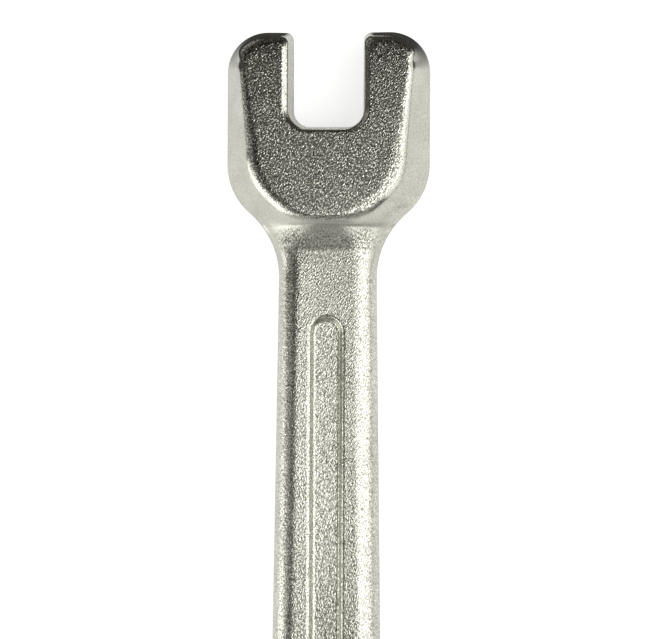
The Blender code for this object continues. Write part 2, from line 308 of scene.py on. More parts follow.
small_chain = to_frame(small_jaw, jaw_outline(small_jaw))
large_chain = to_frame(large_jaw, jaw_outline(large_jaw))
outline = np.vstack([small_chain, handle_chain, large_chain[::-1]])
fade = 1 - even(steps.neck)
for handle_end, step in ((len(small_chain) - 1, -1), (len(small_chain) + len(handle_chain), 1)):
    on_neck = handle_end + step * np.arange(steps.neck + 1)
    taper = handle_half_width(outline[on_neck, 1]) - outline[handle_end, 0]
    outline[on_neck, 0] += fade * taper
print("points along half of the parting line:", len(outline))

# %% [markdown]
# ## How high the skin stands
# Above the parting plane the skin is a height over every point of the plan. A wall leans straight in, and
# an arc rolls it into the flat face. Booleans and fillets could join the heads to the handle, but fillets
# on such crossing walls often fail. So the head and the neck are two heights, and the skin follows
# whichever is higher, with a small fillet where they cross.

# %% Leaning walls with rolled edges
def rounded_min(first, second, reach):
    """The smaller of two values; where they differ by less than reach, a quarter circle joins them."""
    gap = np.minimum(np.abs(first - second), reach)
    joined = (first + second + np.sqrt(2 * reach**2 - gap**2)) / 2 - reach
    return np.where(np.abs(first - second) < reach, joined, np.minimum(first, second))


def edge_start(half_thickness, edge_radius):
    """(inset, height) where a leaning wall ends and its edge starts to roll over."""
    height = half_thickness - edge_radius * (1 - math.sin(WALL_LEAN))
    return (height - TRIM_LAND / 2) * math.tan(WALL_LEAN), height


def wall_height(inset, half_thickness, edge_radius):
    """Height reached this far inside the parting line: trim land, leaning wall, rolled edge, flat face.

    On an edge of radius r over a wall leaning by f, going in by r (cos f - cos a) climbs r (sin a - sin f).
    """
    edge_in, _ = edge_start(half_thickness, edge_radius)
    climbed = TRIM_LAND / 2 + np.clip(inset, 0, edge_in) / math.tan(WALL_LEAN)
    past = np.clip(inset - edge_in, 0, edge_radius * math.cos(WALL_LEAN))
    turned = np.arccos(np.clip(math.cos(WALL_LEAN) - past / edge_radius, 0, 1))
    return climbed + edge_radius * (np.sin(turned) - math.sin(WALL_LEAN))


PAD_EDGE_START = edge_start(HEAD_HALF, PAD_EDGE)
print("pad edge starts", [round(1000 * value, 2) for value in PAD_EDGE_START], "mm in and up")

# %% [markdown]
# ## The head's rounded shoulders
# Where a head narrows to the neck, its outline turns two corners, and the leaning walls carry both up to
# the pad. The distance inside such an outline could be searched for point by point. Each corner is an arc
# that slides along a straight line as the wall comes in, though, so the distance is the root of a
# quadratic.

# %% How far inside a head each place lies
def corner_inset(x, from_tip, corner, first, second):
    """How far in a rounded corner is drawn when it passes through each point.

    Drawn in by w, the corner's arc has its radius r and the centre c + w m, so the point p lies on it where
    |p - c - w m| = r: a quadratic in w. Outside the arc's two end directions the straight sides' insets hold.
    """
    qx = x - corner.centre[0]
    qy = from_tip - corner.centre[1]
    mx, my = corner.move
    size = mx * mx + my * my
    towards = qx * mx + qy * my
    root = np.sqrt(np.clip(towards**2 - size * (qx**2 + qy**2 - corner.radius**2), 0, None))
    inset = (towards + root) / size
    angle = np.arctan2(qy - inset * my, qx - inset * mx)
    return np.where(angle < corner.angles[0], first, np.where(angle > corner.angles[1], second, inset))


def add_corners(jaw):
    """The shoulder's arc and the arc behind it: centre, radius, end directions and move per unit of inset."""
    angle = SHOULDER_ANGLE
    jaw.shoulder_corner = SimpleNamespace(
        centre=(jaw.half - jaw.shoulder_radius, jaw.side_end),
        radius=jaw.shoulder_radius,
        angles=(0, angle),
        move=(-SIDE_SPREAD, -SIDE_SPREAD * math.tan(angle / 2)),
    )
    rear = jaw.length - PAD_BACK
    slant_in = PAD_REAR_RADIUS + math.sin(angle) * (rear - PAD_REAR_RADIUS - jaw.shoulder)
    jaw.rear_corner = SimpleNamespace(
        centre=(jaw.half - slant_in / math.cos(angle), rear - PAD_REAR_RADIUS),
        radius=PAD_REAR_RADIUS,
        angles=(angle, QUARTER),
        move=((REAR_SPREAD * math.sin(angle) - SIDE_SPREAD) / math.cos(angle), -REAR_SPREAD),
    )


def head_inset(jaw, x, from_tip):
    """Distance inside a head's sides, shoulders and back, with the corners between them rounded."""
    x = np.abs(x)
    side_spread = np.interp(from_tip, (jaw.tip_radius, jaw.side_end), (TIP_SPREAD, SIDE_SPREAD))
    side = (jaw.half - x) / side_spread
    slant = math.cos(SHOULDER_ANGLE) * (jaw.half - x) - math.sin(SHOULDER_ANGLE) * (from_tip - jaw.shoulder)
    slant = slant / SIDE_SPREAD
    back = (jaw.length - PAD_BACK - from_tip) / REAR_SPREAD
    shoulder = corner_inset(x, from_tip, jaw.shoulder_corner, side, slant)
    rear = corner_inset(x, from_tip, jaw.rear_corner, slant, back)
    return np.minimum(shoulder, rear)


for jaw in JAWS:
    add_corners(jaw)
    deepest = head_inset(jaw, np.zeros(1), np.array([jaw.slot_depth]))[0]
    print(f"slot bottom lies {1000 * deepest:.1f} mm inside its head")

# %% [markdown]
# ## The neck
# From the pad's rear edge the neck falls in a straight, crowned slope to the handle's face, and a hollow
# arc eases its foot. Its sides turn outwards into the shoulders. A loft between two sections would bulge
# here, so the thickness and the width are each a short profile along the handle, and the wall's formula
# joins them.

# %% Thickness and height of the neck and the handle
PAD_FACE_IN = PAD_EDGE_START[0] + PAD_EDGE * math.cos(WALL_LEAN)
CREST_IN = PAD_FACE_IN - PAD_EDGE * math.cos(math.asin(1 - NECK_STEP / PAD_EDGE))
NECK_START = -PAD_BACK - REAR_SPREAD * CREST_IN
NECK_FOOT = NECK_START + (HEAD_HALF - NECK_STEP - HANDLE_HALF) / math.tan(NECK_SLOPE)


def behind_head(jaw, y):
    """Distance along the handle from where a head's slanted shoulders would meet the handle's sides."""
    return LENGTH / 2 - jaw.end * y - jaw.length


def neck_thickness(behind):
    """Half the neck's thickness along the handle: a straight slope down from the pad, then a hollow arc.

    On the arc of radius r at the slope's foot, going up by d raises the face by r - sqrt(r r - d d).
    Inside the head it falls away again, so that the shoulders' walls cover it.
    """
    to_foot = NECK_FOOT - behind
    curve = NECK_FOOT_RADIUS * math.tan(NECK_SLOPE / 2)
    on_curve = np.clip(to_foot + curve, 0, NECK_FOOT_RADIUS * math.sin(NECK_SLOPE))
    hollow = NECK_FOOT_RADIUS - np.sqrt(NECK_FOOT_RADIUS**2 - on_curve**2)
    on_slope = to_foot > curve * math.cos(NECK_SLOPE)
    outside = HANDLE_HALF + np.where(on_slope, to_foot * math.tan(NECK_SLOPE), hollow)
    inside = np.maximum(HEAD_HALF - NECK_STEP + behind - NECK_START, HANDLE_HALF)
    return np.where(behind < NECK_START, inside, outside)


def neck_surface(jaw, x, y):
    """Height of one end's neck and handle over the plan.

    Its sides turn outwards on an arc and lean further towards the shoulders. The thicker it is, the wider its
    edges are rounded. The height changes by a share of (x / half width) squared: the handle's face is dished
    a little towards its middle, less and less as the sides turn outwards, and the neck's slope is crowned.
    """
    behind = behind_head(jaw, y)
    half_thickness = neck_thickness(behind)
    edge_radius = HANDLE_EDGE * half_thickness / HANDLE_HALF
    crossing = SHOULDER_ANGLE - NECK_CROSSING
    reach = np.clip(NECK_RADIUS * math.tan(SHOULDER_ANGLE / 2) - behind, 0, None)
    bend = NECK_RADIUS * math.sin(crossing)
    on_curve = np.minimum(reach, bend)
    flare = NECK_RADIUS - np.sqrt(NECK_RADIUS**2 - on_curve**2)
    flare = flare + np.clip(reach - bend, 0, None) * math.tan(crossing)
    turned = np.cos(np.arcsin(on_curve / NECK_RADIUS))
    wall_spread = (1 + (SIDE_SPREAD - 1) * on_curve / bend) / turned
    half_width = handle_half_width(y) + flare
    height = wall_height((half_width - np.abs(x)) / wall_spread, half_thickness, edge_radius)
    crown = NECK_CROWN * (half_thickness - HANDLE_HALF) / half_thickness
    buried = np.clip(NECK_START - behind - BURIED_DEPTH, 0, None)
    dish = HANDLE_DISH * (1 - on_curve / bend)
    return height * (1 + (dish - crown) * (x / half_width) ** 2) - BURIED_FALL * buried


print(f"neck slope {1000 * (NECK_FOOT - NECK_START):.1f} mm long")

# %% [markdown]
# ## The recess, and the skin as a whole
# A long, round-ended recess is pressed into both faces of the handle. Its floor is flat, and its lip and
# foot are rounded. Cutting it with a boolean would leave its rim sharp, so its depth is taken off the
# height.

# %% Depth of the recess and height of the skin
RECESS_FOOT = RECESS_FLOOR + RECESS_FLOOR_RADIUS * math.sin(RECESS_SLOPE)
LIP_WIDTH = RECESS_LIP_RADIUS * math.sin(RECESS_SLOPE)
ROUNDED_FALL = (RECESS_LIP_RADIUS + RECESS_FLOOR_RADIUS) * (1 - math.cos(RECESS_SLOPE))
RECESS_LIP = RECESS_FOOT + LIP_WIDTH + (RECESS_DEPTH - ROUNDED_FALL) / math.tan(RECESS_SLOPE)
OUTSIDE = -0.02


def recess_depth(x, y):
    """Depth of the long recess round its middle line: the face rolls over an arc into a straight slope.

    Within the lip's arc of radius r, going in by d sinks the face by r - sqrt(r r - d d).
    """
    far, near = RECESS_ENDS[0] - RECESS_FOOT, RECESS_ENDS[1] + RECESS_FOOT
    past_end = np.maximum(np.maximum(y - far, near - y), 0)
    gone_in = np.clip(RECESS_LIP - np.hypot(x, past_end), 0, None)
    rolled = np.minimum(gone_in, LIP_WIDTH)
    sunk = RECESS_LIP_RADIUS - np.sqrt(RECESS_LIP_RADIUS**2 - rolled**2)
    sunk = sunk + (gone_in - rolled) * math.tan(RECESS_SLOPE)
    return np.maximum(rounded_min(sunk, np.full_like(sunk, RECESS_DEPTH), RECESS_FLOOR_RADIUS / 2), 0)


def skin_height(x, y):
    """Height of the skin over the parting plane away from slots and tips: the higher of head and neck."""
    raised = np.zeros(np.shape(x))
    for jaw in JAWS:
        inset = head_inset(jaw, x, LENGTH / 2 - jaw.end * y)
        head = np.where(inset > 0, wall_height(inset, HEAD_HALF, PAD_EDGE), OUTSIDE)
        higher = -rounded_min(-head, -neck_surface(jaw, x, y), CREASE_FILLET)
        raised = np.where(jaw.end * y > 0, higher, raised)
    return raised - recess_depth(x, y)


print(f"recess {2000 * RECESS_LIP:.1f} mm wide over its lips")

# %% [markdown]
# ## Rings and a strip
# The walls are a stack of rings: the parting line drawn in, level by level, as a loft would do it. What is
# left inside the last ring is nearly flat, and a strip of straight rows between the outer and the inner
# part of that ring fills it. Both are grids of two parameters, so whole arrays give every point at once.

# %% Ring levels up the head's wall
WALL_ROWS = 11
EDGE_ROWS = 12
FLAT_ROWS = 2
FLAT_STEP = 0.0004
FLAT_WALL_GAIN = 2


def rolled_in(height, shape):
    """How far a steep wall has come in at a height, counted from its foot.

    Going down from the pad, an arc of radius roll turns the surface to a slope, a straight bevel falls by
    so much, a second arc of radius corner turns it steep, and the wall goes on down with a small lean.
    """
    upright = QUARTER - shape.lean
    fall = HEAD_HALF - height
    roll_fall = shape.roll * (1 - math.cos(shape.slope))
    corner_fall = shape.corner * (math.cos(shape.slope) - math.cos(upright))
    on_roll = np.clip(fall, 0, roll_fall)
    gone_out = np.sqrt(shape.roll**2 - (shape.roll - on_roll) ** 2)
    gone_out += np.clip(fall - roll_fall, 0, shape.bevel) / math.tan(shape.slope)
    on_corner = np.clip(fall - roll_fall - shape.bevel, 0, corner_fall)
    turned = np.arccos(math.cos(shape.slope) - on_corner / shape.corner)
    gone_out += shape.corner * (np.sin(turned) - math.sin(shape.slope))
    gone_out += np.clip(fall - roll_fall - shape.bevel - corner_fall, 0, None) * math.tan(shape.lean)
    return gone_out[0] - gone_out


def ring_levels():
    """Heights up the leaning wall and its rolled edge, with how far side, slot and tip walls have moved."""
    up_wall = even(WALL_ROWS)
    on_edge = np.linspace(WALL_LEAN, QUARTER, EDGE_ROWS + 1)[1:]
    edge_in, edge_height = PAD_EDGE_START
    height = np.concatenate([
        TRIM_LAND / 2 + (edge_height - TRIM_LAND / 2) * up_wall,
        edge_height + PAD_EDGE * (np.sin(on_edge) - math.sin(WALL_LEAN)),
    ])
    wall = np.concatenate([edge_in * up_wall, edge_in + PAD_EDGE * (math.cos(WALL_LEAN) - np.cos(on_edge))])
    slot = rolled_in(height, slot_wall)
    tip = rolled_in(height, tip_wall)
    more = FLAT_STEP * np.arange(1, FLAT_ROWS + 1)
    return (
        np.concatenate([height, np.full(FLAT_ROWS, HEAD_HALF)]),
        np.concatenate([wall, wall[-1] + FLAT_WALL_GAIN * more]),
        np.concatenate([slot, slot[-1] + more]),
        np.concatenate([tip, tip[-1] + more]),
    )


level_height, wall_in, slot_in, tip_in = ring_levels()
print(f"up to the pad, walls come in {1000 * wall_in[-1]:.1f}, slots {1000 * slot_in[-1]:.1f} mm")

# %% The rings
HEAD_POINTS = SLOT_COUNT + steps.across + HEAD_SIDE_COUNT + 1
rings = outline[:, None, PLACE] + sum(
    level[None, :, None] * outline[:, None, move]
    for level, move in ((wall_in, WALL), (slot_in, SLOT), (tip_in, TIP))
)
ring_height = skin_height(rings[..., 0], rings[..., 1])
ring_height[:HEAD_POINTS] = level_height
ring_height[-HEAD_POINTS:] = level_height
ring_height[:, 0] = TRIM_LAND / 2
print("rings:", rings.shape[1], "of", rings.shape[0], "points")

# %% The strip inside the last ring
CREASE_CROWDING = (0.005, 5)
SLOPE_CROWDING = (0.006, 2)
SLOPE_PLACE = 0.007

tip_end = SLOT_COUNT + steps.across
last_ring = rings[:, -1]
outer_rail = last_ring[tip_end : len(last_ring) - tip_end]
centre_parts = []
for jaw, slot_bottom, neck_end in (
    (small_jaw, last_ring[0, 1], handle_y[0]),
    (large_jaw, last_ring[-1, 1], handle_y[-1]),
):
    crease = jaw.end * (LENGTH / 2 - jaw.length + PAD_EDGE_START[0])
    crowded = [(crease, *CREASE_CROWDING), (crease - jaw.end * SLOPE_PLACE, *SLOPE_CROWDING)]
    centre_parts.append(spread(slot_bottom, neck_end, SIDE_COUNT - SLOT_COUNT, crowded))
centre_y = np.concatenate([centre_parts[0][1:], handle_y[1:-1], centre_parts[1][::-1][:-1]])
centre_line = np.column_stack([np.zeros_like(centre_y), centre_y])
inner_rail = np.vstack([last_ring[SLOT_COUNT::-1], centre_line, last_ring[:-SLOT_COUNT - 2:-1]])
across = across_share[None, :, None]
strip = (1 - across) * outer_rail[:, None] + across * inner_rail[:, None]
strip_height = skin_height(strip[..., 0], strip[..., 1])
print("strip:", strip.shape[0], "by", strip.shape[1], "points; rails", len(outer_rail), len(inner_rail))

# %% [markdown]
# ## Pads that fall towards the tips
# The blows that shape a head leave its arms a little thinner at their ends. A lattice could bend the
# finished mesh. The fall is so small that a parabola in the distance from the tips, taken off the height,
# is simpler.

# %% One quarter of the skin
TIP_FALL_REACH = 0.012
TIP_FALL_SLOPE = math.radians(2.5)


def tip_fall(points):
    """Points with the height lowered by f g g, where g says how far they are into the last stretch of an arm.

    f follows from the end's slope, and the fall shrinks with the height, so the parting line stays flat.
    """
    gone = np.clip(TIP_FALL_REACH - (LENGTH / 2 - np.abs(points[:, 1])), 0, None)
    fall = math.tan(TIP_FALL_SLOPE) / (2 * TIP_FALL_REACH) * gone**2
    lowered = points.copy()
    lowered[:, 2] -= fall * points[:, 2] / HEAD_HALF
    return lowered


def grid_faces(rows, columns, offset):
    """Corner numbers of the quads of a rows by columns grid of points, in the order that faces outwards."""
    number = offset + np.arange(rows * columns).reshape(rows, columns)
    corners = [number[:-1, :-1], number[:-1, 1:], number[1:, 1:], number[1:, :-1]]
    return np.stack(corners, axis=-1).reshape(-1, 4)


quarter_points = tip_fall(np.vstack([
    np.column_stack([rings.reshape(-1, 2), ring_height.ravel()]),
    np.column_stack([strip.reshape(-1, 2), strip_height.ravel()]),
]))
quarter_faces = np.vstack([
    grid_faces(rings.shape[0], rings.shape[1], 0),
    grid_faces(strip.shape[0], strip.shape[1], ring_height.size),
])
print("quarter:", len(quarter_points), "points")

# %% [markdown]
# ## One closed skin
# The quarter is mirrored across the wrench's middle and across the parting plane, and a narrow upright land
# joins the two dies' halves, where the flash was sheared off. A Mirror modifier could do that, but the land
# needs the same outline, so the arrays are mirrored instead. A mirrored face runs the other way round, so
# its corners are taken in reverse, which keeps it facing outwards. Points that coincide are made one.

# %% The trimmed land
WELD = 1e-7
land_edge = tip_fall(np.column_stack([outline[:, PLACE], np.full(len(outline), TRIM_LAND / 2)]))
outward = -(outline[:, WALL] + outline[:, SLOT] + outline[:, TIP])
outward /= np.linalg.norm(outward, axis=1, keepdims=True)
flash_line = np.column_stack([outline[:, PLACE] + FLASH_PROUD * outward, np.zeros(len(outline))])
land_points = np.vstack([land_edge, flash_line, land_edge * (1, 1, -1)])
land_faces = grid_faces(3, len(outline), 0)
print(f"land {1000 * TRIM_LAND:.1f} mm high with {len(land_faces)} faces on each side")

# %% The four quarters and the two lands, welded
points = []
faces = []
count = 0
for side in (1, -1):
    for upper in (1, -1):
        points.append(quarter_points * (side, 1, upper))
        faces.append((quarter_faces if side * upper > 0 else quarter_faces[:, ::-1]) + count)
        count += len(quarter_points)
    points.append(land_points * (side, 1, 1))
    faces.append((land_faces if side > 0 else land_faces[:, ::-1]) + count)
    count += len(land_points)
points = np.vstack(points)
faces = np.vstack(faces)
cells = np.round(points / WELD).astype(np.int64)
_, first, same = np.unique(cells, axis=0, return_index=True, return_inverse=True)
points = points[first] + (0, 0, HEAD_HALF)
faces = same.reshape(-1)[faces]
print("skin:", len(points), "points,", 2 * len(faces), "triangles")

# %% Put the skin into a mesh
def new_mesh(name, points, faces):
    """A smooth-shaded mesh from arrays of points and quads."""
    mesh = bpy.data.meshes.new(name)
    mesh.vertices.add(len(points))
    mesh.vertices.foreach_set("co", points.astype(np.float32).ravel())
    mesh.loops.add(faces.size)
    mesh.loops.foreach_set("vertex_index", faces.astype(np.int32).ravel())
    mesh.polygons.add(len(faces))
    mesh.polygons.foreach_set("loop_start", np.arange(0, faces.size, faces.shape[1], dtype=np.int32))
    mesh.update(calc_edges=True)
    mesh.validate()
    mesh.shade_smooth()
    return mesh


def put_in_scene(name, data):
    """A new object for some mesh, lamp or camera, at the origin."""
    made = bpy.data.objects.new(name, data)
    bpy.context.scene.collection.objects.link(made)
    return made


skin_mesh = new_mesh("wrench_skin", points, faces)
wrench = put_in_scene("wrench_skin", skin_mesh)
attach(wrench, "root")
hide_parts(NODE)
print("mesh:", len(skin_mesh.vertices), "points,", len(skin_mesh.polygons), "faces")

# %% [markdown]
# ## Where the plating is coarse or satin, and where shade is painted
# Shot leaves a coarse grain on faces that lie open to it and less on steep walls. The pads and the neck's
# hollow get painted shade, a darker base colour, and the pads' pits get more contrast. In the neck's hollow,
# which shot hardly reaches, the surface is smooth and satin.
# An image could hold that, but the mesh would have to be unwrapped and the image painted. Here three
# numbers at each point say it, worked out from where the point lies and how far it faces up, and the
# material reads them.

# %% Helpers for the three numbers
def add_attribute(mesh, name, values):
    """One number for each point of a mesh, which a material can read by its name."""
    mesh.attributes.new(name, "FLOAT", "POINT").data.foreach_set("value", values.astype(np.float32))
    print(f"{name}: mean {values.mean():.2f}, from {values.min():.2f} to {values.max():.2f}")


def bell(value, centre, width):
    """exp(-t t) with t = (value - centre) / width."""
    return np.exp(-(((value - centre) / width) ** 2))


normals = np.empty(3 * len(skin_mesh.vertices), np.float32)
skin_mesh.vertex_normals.foreach_get("vector", normals)
facing_up = np.abs(normals.reshape(-1, 3)[:, 2])
across_x = np.abs(points[:, 0])
behind_crest = {jaw.end: behind_head(jaw, points[:, 1]) - NECK_START for jaw in JAWS}
print(f"points that face up or down: {100 * np.mean(facing_up > 0.95):.0f} percent")

# %% Grain
FACE_OPENNESS = (0.72, 0.97)
SLOT_RIM = (0.0030, 0.0035)
SLOT_GRAIN = 0.6
WALL_GRAIN = 0.12
HANDLE_SIDE_GRAIN = 0.45
HANDLE_EDGE_GRAIN = 0.4
EDGE_OPENNESS = (0.60, 0.80)
HANDLE_BEGINS = (0.004, 0.016)
NECK_SMOOTHNESS = 0.6
NECK_TOP = (-0.0003, 0.0005)
NECK_BOTTOM = (0.0030, 0.0085)

grain = smooth_step(facing_up, *FACE_OPENNESS)
on_handle = np.ones(len(points))
smooth_neck = np.ones(len(points))
for jaw in JAWS:
    from_tip = LENGTH / 2 - jaw.end * points[:, 1]
    in_slot = (across_x < jaw.opening / 2 + SLOT_RIM[0]) & (from_tip < jaw.slot_depth + SLOT_RIM[1])
    grain = np.where(in_slot, np.maximum(grain, SLOT_GRAIN), grain)
    on_handle *= smooth_step(behind_head(jaw, points[:, 1]), *HANDLE_BEGINS)
    behind = behind_crest[jaw.end]
    on_neck = smooth_step(behind, *NECK_TOP) * (1 - smooth_step(behind, *NECK_BOTTOM))
    smooth_neck *= 1 - NECK_SMOOTHNESS * on_neck
handle_grain = HANDLE_SIDE_GRAIN + HANDLE_EDGE_GRAIN * smooth_step(facing_up, *EDGE_OPENNESS)
grain = np.maximum(grain, WALL_GRAIN + on_handle * handle_grain) * smooth_neck
add_attribute(skin_mesh, "grain", grain)

# %% Painted shade on the pads and in the hollow, and the satin hollow
PAD_OPENNESS = (0.90, 0.98)
PAD_BORDER = (-0.006, 0.0005)
HOLLOW_SHADE_BAND = (0.0055, 0.0030)
CORNER_SHADE_BAND = (0.0100, 0.0030)
HOLLOW_SHADE = 0.25
CORNER_SHADE = 0.55
SATIN_HOLLOW = (0.0045, 0.0050)

# Painted shade: this mask darkens the base colour of the pads and of the neck's hollow, and adds pit contrast
# there.
pitting_and_painted_shade = np.zeros(len(points))
satin = np.zeros(len(points))
corner_shade = CORNER_SHADE * bell(across_x, *CORNER_SHADE_BAND)
for behind in behind_crest.values():
    pitting_and_painted_shade += smooth_step(facing_up, *PAD_OPENNESS) * (1 - smooth_step(behind, *PAD_BORDER))
    # Painted shade in the neck's hollow, darker again about 10 mm to each side of the middle line.
    shaded_hollow = bell(behind, *HOLLOW_SHADE_BAND) * smooth_step(facing_up, *EDGE_OPENNESS)
    pitting_and_painted_shade += shaded_hollow * (HOLLOW_SHADE + corner_shade)
    satin += bell(behind, *SATIN_HOLLOW)
add_attribute(skin_mesh, "pitting_and_painted_shade", pitting_and_painted_shade)
add_attribute(skin_mesh, "satin", satin)

# %% [markdown]
# ## Shader maths as expressions
# A finish is a chain of sums and products, and in the node editor each of them is a box to place and wire.
# A small class around a node's output takes Python's own operators instead: each one adds its Math node.
# Every other node comes from one method, which sets the node's settings first, since they can change its
# sockets.

# %% A node tree and its sockets
class Graph:
    """The node tree of a material or a world."""

    def __init__(self, owner):
        owner.use_nodes = True
        self.tree = owner.node_tree

    def fill(self, entry, value):
        """Link a socket to a node's input, or set a plain value on it."""
        if isinstance(value, Socket):
            self.tree.links.new(value.output, entry)
        else:
            entry.default_value = value

    def node(self, kind, settings, output, **inputs):
        """A new node: its settings are set first, then its inputs are filled; gives one of its outputs."""
        made = self.tree.nodes.new("ShaderNode" + kind)
        for name, value in settings.items():
            setattr(made, name, value)
        entries = {entry.identifier: entry for entry in made.inputs}
        for name, value in inputs.items():
            self.fill(entries[name], value)
        return Socket(self, {way_out.identifier: way_out for way_out in made.outputs}[output])

    def mix(self, share, first, second):
        """The colour (1 - share) first + share second."""
        return self.node(
            "Mix", {"data_type": "RGBA"}, "Result_Color", Factor_Float=share, A_Color=first, B_Color=second,
        )


class Socket:
    """A node's output; arithmetic with numbers and other sockets adds Math nodes."""

    def __init__(self, graph, output):
        self.graph = graph
        self.output = output

    def math(self, operation, first, second):
        return self.graph.node("Math", {"operation": operation}, "Value", Value=first, Value_001=second)

    def __add__(self, other):
        return self.math("ADD", self, other)

    def __radd__(self, other):
        return self.math("ADD", other, self)

    def __sub__(self, other):
        return self.math("SUBTRACT", self, other)

    def __rsub__(self, other):
        return self.math("SUBTRACT", other, self)

    def __mul__(self, other):
        return self.math("MULTIPLY", self, other)

    def __rmul__(self, other):
        return self.math("MULTIPLY", other, self)

    def __truediv__(self, other):
        return self.math("DIVIDE", self, other)

    def __rtruediv__(self, other):
        return self.math("DIVIDE", other, self)

    def __abs__(self):
        return self.graph.node("Math", {"operation": "ABSOLUTE"}, "Value", Value=self)

    def clamped(self):
        """The value held between 0 and 1."""
        return self.graph.node("Clamp", {}, "Result", Value=self)


def grey(level):
    """An opaque grey of a level between 0 and 1."""
    return (level, level, level, 1)


print("operators ready:", [name for name in vars(Socket) if name.startswith("__r")])

# %% [markdown]
# ## Plated steel
# The plating is metal, a little yellow, over a surface that shot has roughened. Close up, the grain is
# drawn out slantwise into short ridges, and its pits are dark, because light is caught in them. A
# photographed texture would give that quickly, but it would carry one light with it. Noise gives ridges for
# the bump and pits for the colour, both finer than the mesh could hold, and the attributes say how much of
# each.

# %% Plated steel
GRAIN_TURN = math.radians(62)
GRAIN_STRETCH = (1.75, 0.84, 1.0)
NOISE_ROUGHNESS = 0.6
RIDGES = dict(Scale=2000.0, Detail=2.0)
FINE_RIDGES = dict(Scale=3800.0, Detail=0.0)
FINE_SHARE = 0.35
RIDGE_HEIGHT = 0.000105
LEAST_RIDGE = 0.15
PITS = dict(Scale=2900.0, Detail=1.0)
GRAIN_CONTRAST = 2.2
EXTRA_PIT_CONTRAST = 3.8
LEAST_CONTRAST = 0.3
PAINTED_SHADE_DARKENING = 0.46
STAINS = dict(Scale=110.0, Detail=5.0)
STAIN_CONTRAST = 0.35
NOISE_MIDDLE = 0.5
DARK_PIT = (0.16, 0.158, 0.134, 1)
BRIGHT_PLATE = (0.98, 0.975, 0.87, 1)
PLATE_ROUGHNESS = 0.17
SATIN_ROUGHNESS = 0.22


def plated_steel():
    """Metal between dark pits and bright plate, with ridges as a bump.

    Its brightness is a half, plus pits times their contrast, plus stains, minus the painted shade.
    """
    material = bpy.data.materials.new("plated_steel")
    graph = Graph(material)

    def attribute(name):
        return graph.node("Attribute", {"attribute_name": name}, "Fac")

    def noise(place, **sizes):
        return graph.node("TexNoise", {}, "Fac", Vector=place, Roughness=NOISE_ROUGHNESS, **sizes)

    plain = graph.node("TexCoord", {}, "Object")
    slanted = graph.node(
        "Mapping", {"vector_type": "TEXTURE"}, "Vector",
        Vector=plain, Rotation=(0, 0, GRAIN_TURN), Scale=GRAIN_STRETCH,
    )
    coarseness = attribute("grain")
    pitting_and_shade = attribute("pitting_and_painted_shade")
    ridges = noise(slanted, **RIDGES) + FINE_SHARE * noise(slanted, **FINE_RIDGES)
    height = ridges * ((1 - LEAST_RIDGE) * coarseness + LEAST_RIDGE)
    pits = noise(slanted, **PITS) - NOISE_MIDDLE
    stains = noise(plain, **STAINS) - NOISE_MIDDLE
    contrast = GRAIN_CONTRAST * coarseness + EXTRA_PIT_CONTRAST * pitting_and_shade + LEAST_CONTRAST
    # Painted shade: where the mask is, the base colour is darkened.
    brightness = pits * contrast + NOISE_MIDDLE - PAINTED_SHADE_DARKENING * pitting_and_shade + STAIN_CONTRAST * stains

    shader = material.node_tree.nodes["Principled BSDF"].inputs
    graph.fill(shader["Base Color"], graph.mix(brightness.clamped(), DARK_PIT, BRIGHT_PLATE))
    graph.fill(shader["Metallic"], 1.0)
    graph.fill(shader["Roughness"], PLATE_ROUGHNESS + SATIN_ROUGHNESS * attribute("satin"))
    bump = graph.node("Bump", {}, "Normal", Height=height, Strength=1.0, Distance=RIDGE_HEIGHT)
    graph.fill(shader["Normal"], bump)
    print("plated steel:", len(material.node_tree.nodes), "nodes")
    return material


skin_mesh.materials.append(plated_steel())

# %% [markdown]
# ## The table
# The wrench lies on a white table under soft light, so close to it that it leaves only a faint shadow. The
# table could be lit until it burns out to white, but then its light would flood the steel. It glows a
# little instead, for the camera more than for the steel, and still takes the shadow. Beyond the tips the
# studio is dark: for the steel's mirror images the table ends there, apart from a strip behind the open jaw,
# where painted light stands for the light that falls through it. That is why the rounded tips are the
# darkest edge of the wrench.

# %% White table
TABLE_SIZE = 8.0
TABLE_GAP = 0.0004
TABLE_PAINT = 0.70
TABLE_GLOW = 0.33
TABLE_SEEN = 0.66
TABLE_ROUGHNESS = 0.9
DARK_STUDIO = 0.03
DARK_BEFORE_TIPS = 0.008
DARK_FROM = LENGTH / 2 - DARK_BEFORE_TIPS
DARK_FADE = 0.010
JAW_LIGHT_HALF = 0.0095
JAW_LIGHT_FADE = 0.003


